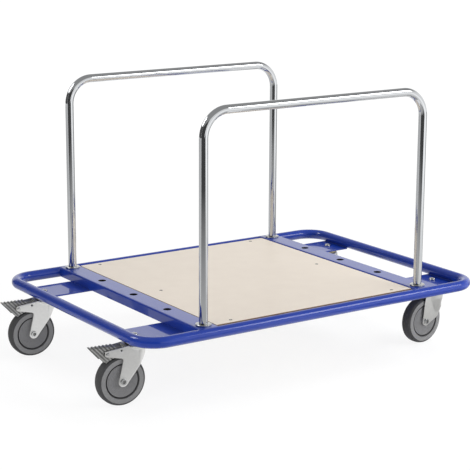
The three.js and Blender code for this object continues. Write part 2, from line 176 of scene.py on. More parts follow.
def moulded(name, light, dark, grain, rough, bump_strength):
    """Moulded rubber or plastic: a fine grain from the mould, in two close greys."""
    made, tree, place = start_finish(name)
    skin = add(
        tree,
        "ShaderNodeTexNoise",
        {"Vector": place, "Scale": per_mm(grain), "Detail": 3},
    )
    tint = add(
        tree,
        "ShaderNodeMix",
        {"Factor": skin.outputs["Fac"], 6: colour(dark), 7: colour(light)},
        data_type="RGBA",
    )
    matt = add(
        tree,
        "ShaderNodeMapRange",
        {"Value": skin.outputs["Fac"], "To Min": rough[0], "To Max": rough[1]},
    )
    bump = add(
        tree,
        "ShaderNodeBump",
        {"Height": skin.outputs["Fac"], "Strength": bump_strength, "Distance": 0.0004},
    )
    end_finish(
        tree,
        Base_Color=tint.outputs[2],
        Roughness=matt.outputs["Result"],
        Normal=bump.outputs["Normal"],
        IOR=1.5,
    )
    return made


def board_laminate():
    # Melamine paper pressed on board: an even warm cream with a faint mottle, satin to the eye.
    made, tree, place = start_finish("melamine_laminate_cream")
    mottle = add(tree, "ShaderNodeTexNoise", {"Vector": place, "Scale": per_mm(45), "Detail": 5})
    pores = add(tree, "ShaderNodeTexNoise", {"Vector": place, "Scale": per_mm(4), "Detail": 2})
    tint = add(
        tree,
        "ShaderNodeMix",
        {"Factor": mottle.outputs["Fac"], 6: colour("#ddd2c5"), 7: colour("#e4dacd")},
        data_type="RGBA",
    )
    satin = add(
        tree,
        "ShaderNodeMapRange",
        {"Value": pores.outputs["Fac"], "To Min": 0.38, "To Max": 0.5},
    )
    bump = add(
        tree,
        "ShaderNodeBump",
        {"Height": pores.outputs["Fac"], "Strength": 0.04, "Distance": 0.0003},
    )
    end_finish(
        tree,
        Base_Color=tint.outputs[2],
        Roughness=satin.outputs["Result"],
        Normal=bump.outputs["Normal"],
        IOR=1.5,
    )
    return made


def board_edge():
    # Sawn plywood edge: thin brown plies in level bands, broken by the saw.
    made, tree, place = start_finish("sawn_plywood_edge_brown")
    torn = add(tree, "ShaderNodeTexNoise", {"Vector": place, "Scale": per_mm(6), "Detail": 4})
    plies = add(
        tree,
        "ShaderNodeTexWave",
        {"Vector": place, "Scale": per_mm(2) / 20, "Distortion": 0.6, "Detail": 2},
        bands_direction="Z",
    )
    tint = add(
        tree,
        "ShaderNodeMix",
        {"Factor": plies.outputs["Fac"], 6: colour("#66503f"), 7: colour("#8c735f")},
        data_type="RGBA",
    )
    bump = add(
        tree,
        "ShaderNodeBump",
        {"Height": torn.outputs["Fac"], "Strength": 0.3, "Distance": 0.0004},
    )
    end_finish(
        tree,
        Base_Color=tint.outputs[2],
        Roughness=0.8,
        Normal=bump.outputs["Normal"],
        IOR=1.45,
    )
    return made


PAINT = blue_powder_coat()
LAMINATE = board_laminate()
EDGE = board_edge()
# Polished and plated tube: mirror-like, so that it shows bands of its surroundings.
HOOP_ZINC = plated_steel("bright_zinc_plated_tube", "#d4d6d8", "#c8cacc", 60, (0.05, 0.09), 0)
# Turned and plated small parts: bright, a little softer than the tube.
BOLT_ZINC = plated_steel("bright_zinc_turned_steel", "#d2d3d3", "#bfc0c0", 8, (0.2, 0.3))
# Pressed sheet, zinc passivated: an even satin grey with a soft spangle.
FORK_ZINC = plated_steel("passivated_zinc_pressed_steel", "#ebebe9", "#d9d9d7", 7, (0.36, 0.48))
# Yellow-passivated race: satin with an olive cast.
HEAD_ZINC = plated_steel("yellow_passivated_zinc_steel", "#b3aa8e", "#8f8770", 9, (0.35, 0.48))
# Pedal pressing, darker and more worn than the fork, on its rib crests.
PEDAL_STEEL = plated_steel("rubbed_zinc_pressed_steel", "#c4c4c2", "#adadab", 6, (0.38, 0.5))
# Zinc flake baked on in a binder: a matt grey on small fixings; in the pedal's rib troughs and the axle bolt's hex
# socket it stands as painted shade.
DULL_STEEL_AND_SHADE = plated_steel("zinc_flake_steel_and_painted_shade", "#898987", "#737372", 6, (0.5, 0.62), metal=0.3)
# Inside of a socket, the sheet's wall round each socket hole and the deck screws' cross recesses: nearly black, as
# painted shade.
BORE = plated_steel("black_painted_shade_bore", "#26262a", "#1a1a1d", 6, (0.6, 0.75))
# Grey rubber: the tread is a darker grey than the moulded sides; the same dark grey lines the groove round the
# wheel centre as painted shade.
TREAD_AND_GROOVE_SHADE = moulded("rubber_tread_dark_grey_and_groove_shade", "#4a4a4b", "#39393a", 3, (0.7, 0.85), 0.2)
SIDEWALL = moulded("moulded_rubber_side_grey", "#868686", "#7a7a7b", 5, (0.55, 0.68), 0.08)
# Moulded polyamide wheel centre: mid grey with a fine matt grain.
CENTRE = moulded("moulded_polyamide_grey", "#7d7d7e", "#717172", 4, (0.48, 0.6), 0.08)


# Making pieces


def fresh():
    return bmesh.new()


def soften(bm, width, segments=3, limit=SHARP):
    """Rounds every edge that is sharper than a limit."""
    edges = [e for e in bm.edges if e.is_manifold and e.calc_face_angle(0) > limit]
    bmesh.ops.bevel(
        bm,
        geom=edges,
        offset=width,
        offset_type="OFFSET",
        segments=segments,
        profile=0.5,
        affect="EDGES",
        clamp_overlap=True,
        material=-1,
    )


def outwards(bm):
    bmesh.ops.remove_doubles(bm, verts=bm.verts[:], dist=0.002)
    bmesh.ops.recalc_face_normals(bm, faces=bm.faces[:])


def outline(bm, points, closed):
    """A line of a few vertices."""
    verts = [bm.verts.new(p) for p in points]
    pairs = list(zip(verts, verts[1:]))
    if closed:
        pairs.append((verts[-1], verts[0]))
    return verts, [bm.edges.new(pair) for pair in pairs]


def turned(profile, sides=64, width=0.0, closed=False, segments=3):
    """A turned piece: a profile of (radius, height) spun about Z, its ring edges rounded."""
    bm = fresh()
    verts, edges = outline(bm, [(r, 0, z) for r, z in profile], closed)
    bmesh.ops.spin(
        bm,
        geom=verts + edges,
        cent=(0, 0, 0),
        axis=(0, 0, 1),
        angle=2 * math.pi,
        steps=sides,
        use_merge=True,
    )
    outwards(bm)
    if width:
        soften(bm, width, segments, math.radians(14))
    return bm


def both_sides(flank):
    """A profile and its mirror image, for a piece that is alike on both faces."""
    return flank + [(r, -z) for r, z in reversed(flank)]


def block(low, high):
    bm = fresh()
    bmesh.ops.create_cube(bm, size=1)
    low, high = Vector(low), Vector(high)
    bmesh.ops.scale(bm, vec=high - low, verts=bm.verts[:])
    bmesh.ops.translate(bm, vec=(low + high) / 2, verts=bm.verts[:])
    return bm


def drum(radius, low, high, sides=48):
    """A plain round cutter, upright."""
    bm = fresh()
    bmesh.ops.create_cone(
        bm,
        cap_ends=True,
        segments=sides,
        radius1=radius,
        radius2=radius,
        depth=high - low,
        matrix=Matrix.Translation((0, 0, (low + high) / 2)),
    )
    return bm


def moved(bm, matrix):
    bmesh.ops.transform(bm, matrix=matrix, verts=bm.verts[:])
    return bm


ACROSS = Matrix.Rotation(-math.pi / 2, 4, "X")


def across(bm, x, z):
    """Turns an upright shape to lie along Y at a place in the side view."""
    return moved(bm, Matrix.Translation((x, 0, z)) @ ACROSS)


def as_object(bm):
    mesh = bpy.data.meshes.new("cutting")
    bm.to_mesh(mesh)
    bm.free()
    made = bpy.data.objects.new("cutting", mesh)
    bpy.context.scene.collection.objects.link(made)
    return made


def worked(bm, tool, how):
    """Joins a shape with a tool, cuts it, or keeps what both hold."""
    body, other = as_object(bm), as_object(tool)
    step = body.modifiers.new("cut", "BOOLEAN")
    step.operation = how
    step.solver = "EXACT"
    step.object = other
    seen = body.evaluated_get(bpy.context.evaluated_depsgraph_get())
    mesh = bpy.data.meshes.new_from_object(seen)
    made = fresh()
    made.from_mesh(mesh)
    for used in (body, other):
        left = used.data
        bpy.data.objects.remove(used)
        bpy.data.meshes.remove(left)
    bpy.data.meshes.remove(mesh)
    return made


def eased(bm, grain, passes):
    """Eases creases and edges as a press leaves them, on an even net of small faces."""
    body = as_object(bm)
    net = body.modifiers.new("net", "REMESH")
    net.mode = "VOXEL"
    net.voxel_size = grain
    ease = body.modifiers.new("ease", "SMOOTH")
    ease.factor = 0.5
    ease.iterations = passes
    seen = body.evaluated_get(bpy.context.evaluated_depsgraph_get())
    mesh = bpy.data.meshes.new_from_object(seen)
    made = fresh()
    made.from_mesh(mesh)
    left = body.data
    bpy.data.objects.remove(body)
    bpy.data.meshes.remove(left)
    bpy.data.meshes.remove(mesh)
    return made


def cut(bm, *tools):
    for tool in tools:
        bm = worked(bm, tool, "DIFFERENCE")
    return bm


def hand_in(name, bm, body, finishes, nodes=(), place=None):
    """Makes a finished piece of a shape drawn in millimetres."""
    if place is not None:
        moved(bm, place)
    bmesh.ops.scale(bm, vec=(MM, MM, MM), verts=bm.verts[:])
    for face in bm.faces:
        face.smooth = True
    for edge in bm.edges:
        edge.smooth = edge.calc_face_angle(0) < SHARP
    mesh = bpy.data.meshes.new(name)
    bm.to_mesh(mesh)
    bm.free()
    for finish in finishes:
        mesh.materials.append(finish)
    piece = bpy.data.objects.new(name, mesh)
    bpy.context.scene.collection.objects.link(piece)
    # Wide flats keep their own normal, so that a rounded edge does not bend what they mirror.
    flats = piece.modifiers.new("flats", "WEIGHTED_NORMAL")
    flats.weight = 100
    flats.keep_sharp = True
    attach(piece, body)
    if nodes:
        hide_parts(*nodes)
    return piece


def tube_start(bm, centre, heading, radius, sides):
    turn = Vector(heading).to_track_quat("Z", "Y").to_matrix().to_4x4()
    made = bmesh.ops.create_circle(
        bm,
        cap_ends=False,
        segments=sides,
        radius=radius,
        matrix=Matrix.Translation(centre) @ turn,
    )
    return list({edge for vert in made["verts"] for edge in vert.link_edges})


def tube_run(bm, ring, step):
    made = bmesh.ops.extrude_edge_only(bm, edges=ring)["geom"]
    verts = {g for g in made if isinstance(g, bmesh.types.BMVert)}
    bmesh.ops.translate(bm, verts=list(verts), vec=step)
    return [g for g in made if isinstance(g, bmesh.types.BMEdge) and set(g.verts) <= verts]


def tube_bend(bm, ring, centre, axis, degrees, steps=20):
    geom = ring + list({vert for edge in ring for vert in edge.verts})
    made = bmesh.ops.spin(
        bm,
        geom=geom,
        cent=centre,
        axis=axis,
        angle=math.radians(degrees),
        steps=steps,
        use_merge=False,
    )["geom_last"]
    return [g for g in made if isinstance(g, bmesh.types.BMEdge)]


# Frame

frame_low, frame_high = low_mm("frame_tube"), high_mm("frame_tube")
CART_X = (frame_low.x + frame_high.x) / 2
TUBE = frame_high.z - frame_low.z
TUBE_LEVEL = (frame_low.z + frame_high.z) / 2
END_X = (frame_high.x - frame_low.x - TUBE) / 2
SIDE_Y = (frame_high.y - frame_low.y - TUBE) / 2
FRAME_BEND = 60


def frame_loop():
    bm = fresh()
    run_x, run_y = END_X - FRAME_BEND, SIDE_Y - FRAME_BEND
    ring = tube_start(bm, (0, -SIDE_Y, 0), (-1, 0, 0), TUBE / 2, 40)
    ring = tube_run(bm, ring, (-run_x, 0, 0))
    ring = tube_bend(bm, ring, (-run_x, -run_y, 0), (0, 0, 1), -90)
    ring = tube_run(bm, ring, (0, 2 * run_y, 0))
    ring = tube_bend(bm, ring, (-run_x, run_y, 0), (0, 0, 1), -90)
    ring = tube_run(bm, ring, (2 * run_x, 0, 0))
    ring = tube_bend(bm, ring, (run_x, run_y, 0), (0, 0, 1), -90)
    ring = tube_run(bm, ring, (0, -2 * run_y, 0))
    ring = tube_bend(bm, ring, (run_x, -run_y, 0), (0, 0, 1), -90)
    tube_run(bm, ring, (-run_x, 0, 0))
    outwards(bm)
    for x in (-END_X, END_X):
        bm = cut(bm, moved(drum(4, -TUBE, -4, 24), Matrix.Translation((x, 0, 0))))
    return moved(bm, Matrix.Translation((CART_X, 0, TUBE_LEVEL)))


hand_in("frame_loop", frame_loop(), "base", [PAINT], ["frame_tube"])

cross_low, cross_high = low_mm("cross_member_right"), high_mm("cross_member_right")
HOOP_TUBE = high_mm("hoop_near").y - low_mm("hoop_near").y
ROW_X = high_mm("hoop_near").x - HOOP_TUBE / 2 - CART_X
SOCKET_PITCH = 164
SOCKET_ROWS = [SOCKET_PITCH * i for i in (-2, -1, 0, 1, 2)]
SHEET = 3
BORE_RADIUS = 10.4


def cross_member():
    """Folded sheet with its socket face up, drawn for the right end about the cart's middle."""
    outer, inner = cross_high.x - CART_X, cross_low.x - CART_X
    step = 2 * ROW_X - outer
    foot, top = cross_low.z, cross_high.z
    shelf = low_mm("deck_board").z - 0.3
    half = cross_high.y
    bm = fresh()
    profile = [(outer, foot), (outer, top), (step, top), (step, shelf), (inner, shelf), (inner, foot)]
    verts, edges = outline(bm, [(x, -half, z) for x, z in profile], False)
    made = bmesh.ops.extrude_edge_only(bm, edges=edges)["geom"]
    far = [g for g in made if isinstance(g, bmesh.types.BMVert)]
    bmesh.ops.translate(bm, verts=far, vec=(0, 2 * half, 0))
    outwards(bm)
    folds = [e for e in bm.edges if e.is_manifold]
    hollow = [e for e in folds if min(abs(v.co.x - step) + abs(v.co.z - shelf) for v in e.verts) < 1]
    for edges, radius in ((hollow, SHEET / 2), ([e for e in folds if e not in hollow], 1.5 * SHEET)):
        bmesh.ops.bevel(
            bm,
            geom=edges,
            offset=radius,
            offset_type="OFFSET",
            segments=5,
            profile=0.5,
            affect="EDGES",
            material=-1,
        )
    face = max(bm.faces, key=lambda f: f.calc_center_median().z)
    rim = face.edges[:]
    bmesh.ops.delete(bm, geom=[face], context="FACES_ONLY")
    for y in SOCKET_ROWS:
        rim += tube_start(bm, (ROW_X, y, top), (0, 0, 1), BORE_RADIUS, 32)
    bmesh.ops.triangle_fill(bm, use_beauty=True, use_dissolve=False, edges=rim)
    bmesh.ops.recalc_face_normals(bm, faces=bm.faces[:])
    upper = max(bm.faces, key=lambda f: f.calc_center_median().z)
    if upper.normal.z < 0:
        bmesh.ops.reverse_faces(bm, faces=bm.faces[:])
    bmesh.ops.solidify(bm, geom=bm.faces[:], thickness=SHEET)
    # The wall round each socket hole takes the near-black bore finish as painted shade.
    for face in bm.faces:
        middle = face.calc_center_median()
        off = min(math.hypot(middle.x - ROW_X, middle.y - y) for y in SOCKET_ROWS)
        face.material_index = 1 if off < BORE_RADIUS + 0.1 and abs(face.normal.z) < 0.5 else 0
    return bm


def sleeves():
    bm = fresh()
    for y in SOCKET_ROWS:
        low, high = cross_low.z, cross_high.z - SHEET + 0.2
        wall = [(BORE_RADIUS, low), (BORE_RADIUS, high), (BORE_RADIUS + 3, high), (BORE_RADIUS + 3, low)]
        ring = moved(turned(wall, 32, closed=True), Matrix.Translation((ROW_X, y, 0)))
        mesh = bpy.data.meshes.new("sleeve")
        ring.to_mesh(mesh)
        ring.free()
        bm.from_mesh(mesh)
        bpy.data.meshes.remove(mesh)
    return bm


for end, turn in (("right", 0), ("left", math.pi)):
    about = Matrix.Translation((CART_X, 0, 0)) @ Matrix.Rotation(turn, 4, "Z")
    node = f"cross_member_{end}"
    hand_in(f"cross_sheet_{end}", cross_member(), "base", [PAINT, BORE], [node], about)
    # The sleeves take the near-black bore finish all over, as painted shade inside the sockets.
    hand_in(f"socket_sleeves_{end}", sleeves(), "base", [BORE], (), about)

CASTORS = ["left_near", "left_far", "right_near", "right_far"]


def weld_bead(length):
    """A seam of overlapping weld pools along the end of a plate, drawn upright."""
    pools = round(length / 3)
    heights = [length * (i / pools - 0.5) for i in range(1, pools)]
    ripple = [(2.3 if i % 2 else 1.9, z) for i, z in enumerate(heights)]
    return turned([(0, -length / 2)] + ripple + [(0, length / 2)], 20)


for place in CASTORS:
    node = f"castor_plate_{place}"
    plate = block(low_mm(node), high_mm(node))
    soften(plate, 0.8, 3)
    hand_in(f"plate_{place}", plate, "base", [PAINT], [node])
    outer = high_mm(node).x if place.startswith("right") else low_mm(node).x
    seam = Matrix.Translation((outer, mid_mm(node).y, high_mm(node).z)) @ ACROSS
    hand_in(f"weld_{place}", weld_bead(high_mm(node).y - low_mm(node).y), "base", [PAINT], (), seam)


# Deck

deck_low, deck_high = low_mm("deck_board"), high_mm("deck_board")


def deck():
    bm = block(deck_low, deck_high)
    upright = [e for e in bm.edges if abs((e.verts[0].co - e.verts[1].co).normalized().z) > 0.9]
    bmesh.ops.bevel(
        bm, geom=upright, offset=3, offset_type="OFFSET", segments=6, profile=0.5, affect="EDGES", material=-1
    )
    soften(bm, 1.6, 1)
    for face in bm.faces:
        face.material_index = 0 if abs(face.normal.z) > 0.9 else 1
    return bm


hand_in("deck_sheet", deck(), "base", [LAMINATE, EDGE], ["deck_board"])


def deck_screw():
    """A flush countersunk screw with a cross recess."""
    head = turned([(0, -2.2), (2.2, -2.2), (4.6, 0), (4.1, 0.4), (0, 0.55)], 32, 0.12, segments=2)
    head = cut(head, block((-3.2, -0.75, -1.3), (3.2, 0.75, 2)), block((-0.75, -3.2, -1.3), (0.75, 3.2, 2)))
    # The cross recess takes the near-black bore finish as painted shade.
    for face in head.faces:
        middle = face.calc_center_median()
        slot = min(abs(middle.x), abs(middle.y)) < 0.8 and middle.z < 0.35 and middle.xy.length < 3.3
        face.material_index = 1 if slot and middle.z > -1.5 else 0
    return head


for i, x in enumerate((-252, 252)):
    for j, y in enumerate((-322, 0, 322)):
        where = Matrix.Translation((CART_X + x, y, deck_high.z)) @ Matrix.Rotation(0.5 + i + 1.3 * j, 4, "Z")
        hand_in(f"deck_screw_{3 * i + j + 1}", deck_screw(), "base", [DULL_STEEL_AND_SHADE, BORE], (), where)


# Hoops

HOOP_BEND = 65
HOOP_WALL = 2
PLUG_RADIUS = HOOP_TUBE / 2 - HOOP_WALL - 0.3


def hoop(side):
    low, high = low_mm(f"hoop_{side}"), high_mm(f"hoop_{side}")
    y = (low.y + high.y) / 2
    level = high.z - HOOP_TUBE / 2
    run = ROW_X - HOOP_BEND
    rise = level - HOOP_BEND - low.z
    bm = fresh()
    ring = tube_start(bm, (-ROW_X, y, low.z), (0, 0, 1), HOOP_TUBE / 2, 40)
    ring = tube_run(bm, ring, (0, 0, rise))
    ring = tube_bend(bm, ring, (-run, y, level - HOOP_BEND), (0, 1, 0), 90)
    ring = tube_run(bm, ring, (2 * run, 0, 0))
    ring = tube_bend(bm, ring, (run, y, level - HOOP_BEND), (0, 1, 0), 90)
    tube_run(bm, ring, (0, 0, -rise))
    outwards(bm)
    bmesh.ops.solidify(bm, geom=bm.faces[:], thickness=HOOP_WALL)
    return moved(bm, Matrix.Translation((CART_X, 0, 0)))


def hoop_foot(node):
    low, high = low_mm(node), high_mm(node)
    collar = low.z + 25.3
    profile = [
        (0, low.z),
        (8, low.z),
        (10, low.z + 2),
        (10, collar),
        (19.5, collar),
        (19.5, collar + 3),
        (18.4, collar + 4),
        (PLUG_RADIUS, collar + 4),
        (PLUG_RADIUS, high.z),
        (0, high.z),
    ]
    middle = mid_mm(node)
    return moved(turned(profile, 56, 0.4), Matrix.Translation((middle.x, middle.y, 0)))


for side in ("near", "far"):
    hand_in(f"hoop_tube_{side}", hoop(side), f"hoop_{side}", [HOOP_ZINC], [f"hoop_{side}"])
    for end in ("left", "right"):
        node = f"hoop_foot_{side}_{end}"
        hand_in(f"collar_{side}_{end}", hoop_foot(node), f"hoop_{side}", [BOLT_ZINC], [node])


# Castors, drawn about the king bolt: +X back to the axle, Y across the wheel

AXLE_Z = mid_mm("tyre_left_near").z
CROWN_TOP = high_mm("fork_left_near").z
TRAIL = (mid_mm("tyre_left_near") - mid_mm("king_bolt_left_near")).xy.length
CROWN_RADIUS = 30
LEG_END = 13
FORK_SHEET = 2.5
FORK_GAP = 36
PIVOT_X = TRAIL + 40.5
PIVOT_Z = CROWN_TOP - 14.5
ARM_END = 7.5
HOOD_TOP = 22
HOOD_FOOT = 30.8
HOOD_DEPTH = 33.5


def castor_place(place):
    king = mid_mm(f"king_bolt_{place}")
    back = mid_mm(f"tyre_{place}") - king
    turn = Matrix.Rotation(math.atan2(back.y, back.x), 4, "Z")
    return Matrix.Translation((king.x, king.y, 0)) @ turn


def king_bolt():
    dome = high_mm("castor_plate_left_near").z + 0.3
    under = CROWN_TOP - FORK_SHEET - 0.3
    profile = [
        (0, under - 6),
        (8, under - 6),
        (8, under),
        (6, under),
        (6, dome),
        (9, dome),
        (9, dome + 1.8),
        (6.75, dome + 4.8),
        (0, dome + 6),
    ]
    return turned(profile, 48, 1.1, segments=4)


def swivel_head():
    low, tall = CROWN_TOP + 0.4, 13
    profile = [
        (6.3, low),
        (26, low),
        (26, low + 0.4 * tall),
        (21.8, low + 0.55 * tall),
        (24.7, low + 0.7 * tall),
        (24.7, low + tall),
        (6.3, low + tall),
    ]
    return turned(profile, 64, 0.7, closed=True)


def arc(centre, radius, start, stop, count):
    """Corner points of an arc in the side view, for an outline."""
    turns = [start + (stop - start) * i / count for i in range(count + 1)]
    return [(centre[0] + radius * math.cos(t), centre[1] + radius * math.sin(t)) for t in turns]


def bow(start, pull, stop, count=8):
    """Points of a curve drawn from start to stop, pulled towards a third point."""
    parts = [i / count for i in range(count + 1)]
    a, b, c = Vector(start), Vector(pull), Vector(stop)
    return [tuple((1 - t) ** 2 * a + 2 * t * (1 - t) * b + t * t * c) for t in parts]


def cheek_outline(braked):
    front = -CROWN_RADIUS - 1
    axle = (TRAIL, AXLE_Z)
    if braked:
        throat = PIVOT_Z - ARM_END - 8
        points = [(front, CROWN_TOP + 1), (front, CROWN_TOP - 12)]
        points += [(-0.25 * CROWN_RADIUS, AXLE_Z + 2.9 * LEG_END)]
        points += arc(axle, LEG_END, 1.2 * math.pi, 1.96 * math.pi, 16)
        points += bow(
            (TRAIL + 0.5, throat - LEG_END / 2),
            (TRAIL - 1, throat),
            (TRAIL + 0.7 * LEG_END, throat + 1),
        )
        points += arc((PIVOT_X, PIVOT_Z), ARM_END, -0.45 * math.pi, 0.46 * math.pi, 16)
        points += [(CROWN_RADIUS - 3, CROWN_TOP - 0.5), (CROWN_RADIUS - 3, CROWN_TOP + 1)]
        return points
    points = [(front, CROWN_TOP + 1), (front, CROWN_TOP - 0.9 * CROWN_RADIUS)]
    points += [(-0.57 * CROWN_RADIUS, AXLE_Z + 2.4 * LEG_END)]
    points += [(-0.15 * CROWN_RADIUS, AXLE_Z + 0.5 * LEG_END)]
    points += arc(axle, LEG_END, 1.4 * math.pi, 1.96 * math.pi, 16)
    points += bow(
        (TRAIL + 0.5 * LEG_END, CROWN_TOP - 1.15 * CROWN_RADIUS),
        (TRAIL, CROWN_TOP - 12),
        (CROWN_RADIUS, CROWN_TOP - 4),
    )
    points += [(CROWN_RADIUS, CROWN_TOP + 1)]
    return points


def drawn_across(points, width):
    """A side-view outline drawn out across the castor."""
    bm = fresh()
    _, edges = outline(bm, [(x, -width / 2, z) for x, z in points], True)
    face = bmesh.ops.contextual_create(bm, geom=edges)["faces"]
    made = bmesh.ops.extrude_face_region(bm, geom=face)["geom"]
    far = [g for g in made if isinstance(g, bmesh.types.BMVert)]
    bmesh.ops.translate(bm, verts=far, vec=(0, width, 0))
    outwards(bm)
    return bm


def fork(braked):
    """A pressed shell with two flat cheeks: a plain one widens in a cone to its crown, a braked
    one has a raked nose as wide as its cheeks and a collar that flares out to the crown."""
    low = AXLE_Z - LEG_END - 1
    reach = PIVOT_X + ARM_END + 1
    flat_start = 0 if braked else -0.6 * CROWN_RADIUS
    cone_foot = CROWN_TOP - 0.45 * CROWN_RADIUS if braked else AXLE_Z + 1.4 * LEG_END
    shoulder = CROWN_TOP - (0.15 if braked else 1) * CROWN_RADIUS
    cheek = FORK_GAP / 2 + FORK_SHEET
    rake_foot = AXLE_Z + 2.2 * LEG_END
    lean = Matrix.Identity(4)
    lean[0][2] = -(CROWN_RADIUS - cheek) / (CROWN_TOP - rake_foot)
    lean[0][3] = -lean[0][2] * rake_foot

    def skin(inset, bottom, top):
        narrow, wide = cheek - inset, CROWN_RADIUS - inset
        ease = 1.4 * FORK_SHEET - inset / 2
        crown = [
            (narrow, cone_foot),
            (wide, shoulder),
            (wide, top - ease),
            (wide - 0.3 * ease, top - 0.3 * ease),
            (wide - ease, top),
            (0, top),
        ]
        flats = block((flat_start, -narrow, bottom), (reach, narrow, top))
        if not braked:
            return worked(turned([(0, bottom), (narrow, bottom)] + crown, 72), flats, "UNION")
        flats = worked(flats, moved(drum(narrow, bottom, top, 72), lean), "UNION")
        return worked(flats, turned([(0, cone_foot)] + crown, 72), "UNION") if inset == 0 else flats

    shell = worked(skin(0, low, CROWN_TOP), drawn_across(cheek_outline(braked), 2 * CROWN_RADIUS + 2), "INTERSECT")
    shell = cut(
        shell,
        skin(FORK_SHEET, low - 1, CROWN_TOP - FORK_SHEET),
        block((CROWN_RADIUS, -FORK_GAP / 2, 1), (CROWN_RADIUS + reach, FORK_GAP / 2, CROWN_TOP + 1)),
        across(drum(AXLE_Z + 5, -FORK_GAP / 2, FORK_GAP / 2, 64), TRAIL, AXLE_Z),
        drum(6.3, CROWN_TOP - 5, CROWN_TOP + 1, 32),
        across(drum(4.3, -50, 50, 32), TRAIL, AXLE_Z),
    )
    if braked:
        shell = cut(
            shell,
            across(drum(2.8, -50, 50, 24), PIVOT_X, PIVOT_Z),
            across(drum(2.5, -50, 50, 24), TRAIL + 4, CROWN_TOP - 10),
        )
    outwards(shell)
    return eased(shell, 1.0, 10)


def axle_bolt():
    face = FORK_GAP / 2 + FORK_SHEET + 0.3
    end = -face - 8
    profile = [(0, end), (4, end), (4, face), (7.5, face), (7.5, face + 3), (0, face + 3)]
    bolt = turned(profile, 48, 0.4)
    bolt = cut(bolt, drum(4.9, face + 0.9, face + 5, 6))
    # The floor and walls of the hex socket take the darker matt grey as painted shade.
    for side in bolt.faces:
        middle = side.calc_center_median()
        side.material_index = 1 if middle.xy.length < 4.95 and middle.z > face else 0
    return across(bolt, TRAIL, AXLE_Z)


def axle_nut():
    face = FORK_GAP / 2 + FORK_SHEET + 0.3
    hexagon = drum(6.5 / math.cos(math.pi / 6), -face - 6, -face, 6)
    chamfer = turned([(0, -face - 6), (6.2, -face - 6), (7.6, -face - 5.2), (7.6, -face), (0, -face)], 48)
    return across(worked(hexagon, chamfer, "INTERSECT"), TRAIL, AXLE_Z)


def tyre():
    flank = [(62.5, 6), (60.7, 12), (56.3, 15.5), (43.6, 15.5), (42.3, 13.8)]
    bm = turned(both_sides(flank), 96, 1.6, closed=True, segments=4)
    # The tread and the lip down in the groove by the wheel centre take the dark grey, in the groove as painted
    # shade; the moulded side between them is lighter.
    for face in bm.faces:
        middle = face.calc_center_median()
        face.material_index = 1 if 44.6 < middle.xy.length < 55.6 else 0
    return across(bm, TRAIL, AXLE_Z)


def wheel_centre():
    flank = [(42, 9), (41.4, 9), (40.4, 13.5)]
    for radius in (37, 33.5, 30, 26.5, 23, 19.5):
        flank += [(radius + 0.8, 13.5), (radius, 12.9), (radius - 0.8, 13.5)]
    flank += [(13.5, 13.5), (11, 17), (4.3, 17)]
    bm = turned(both_sides(flank), 96, 0.25, closed=True, segments=2)
    # The centre's rim down in the groove takes the dark tread grey as painted shade.
    for face in bm.faces:
        face.material_index = 1 if face.calc_center_median().xy.length > 39.9 else 0
    return across(bm, TRAIL, AXLE_Z)


def pivot_pin():
    half = FORK_GAP / 2 + FORK_SHEET + 0.3
    flank = [(0, half + 1.25), (2.25, half + 1.25), (3.75, half), (2.5, half)]
    return across(turned(both_sides(flank), 32, 0.3, segments=2), PIVOT_X, PIVOT_Z)


def brake_pedal(node, at):
    """The pressed hood with its ribs and shoe, its sharp edges rounded as a press leaves them.
    Its rib crests keep the lighter pedal grey and its troughs take a darker grey, as painted shade with some wear."""
    bm = fresh()
    bm.from_mesh(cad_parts[node].data)
    bmesh.ops.scale(bm, vec=(1 / MM,) * 3, verts=bm.verts[:])
    bmesh.ops.remove_doubles(bm, verts=bm.verts[:], dist=0.002)
    bmesh.ops.dissolve_limit(bm, angle_limit=math.radians(1), verts=bm.verts[:], edges=bm.edges[:])
    soften(bm, 0.35, 2)
    home = at.inverted()
    for face in bm.faces:
        middle = home @ face.calc_center_median()
        flare = (HOOD_FOOT - HOOD_TOP) / 2 * (CROWN_TOP - middle.z) / HOOD_DEPTH
        # Raised rib faces keep the lighter pedal grey; the troughs between them get the darker matt grey as
        # painted shade with some wear.
        crest = middle.z > CROWN_TOP + 0.6 or abs(middle.y) > HOOD_TOP / 2 + flare + 0.6
        face.material_index = 0 if crest else 1
    return bm


for place in CASTORS:
    braked = place.startswith("left")
    at = castor_place(place)
    swivel, wheel = f"swivel_{place}", f"wheel_{place}"
    hand_in(f"king_{place}", king_bolt(), "base", [BOLT_ZINC], [f"king_bolt_{place}"], at)
    hand_in(f"race_{place}", swivel_head(), "base", [HEAD_ZINC], [f"swivel_head_{place}"], at)
    hand_in(f"fork_shell_{place}", fork(braked), swivel, [FORK_ZINC], [f"fork_{place}"], at)
    hand_in(f"axle_{place}", axle_bolt(), swivel, [BOLT_ZINC, DULL_STEEL_AND_SHADE], [f"axle_bolt_{place}"], at)
    hand_in(f"nut_{place}", axle_nut(), swivel, [BOLT_ZINC], [f"axle_nut_{place}"], at)
    hand_in(f"tread_{place}", tyre(), wheel, [TREAD_AND_GROOVE_SHADE, SIDEWALL], [f"tyre_{place}"], at)
    hand_in(f"centre_{place}", wheel_centre(), wheel, [CENTRE, TREAD_AND_GROOVE_SHADE], [f"wheel_centre_{place}"], at)
    if braked:
        node = f"brake_pedal_{place}"
        hood = brake_pedal(node, at)
        hand_in(f"pedal_{place}", hood, f"pedal_{place}", [PEDAL_STEEL, DULL_STEEL_AND_SHADE], [node])
        hand_in(f"rivet_{place}", pivot_pin(), swivel, [BOLT_ZINC], [f"pivot_pin_{place}"], at)


# Studio

scene = bpy.context.scene
scene.view_settings.view_transform = "Standard"

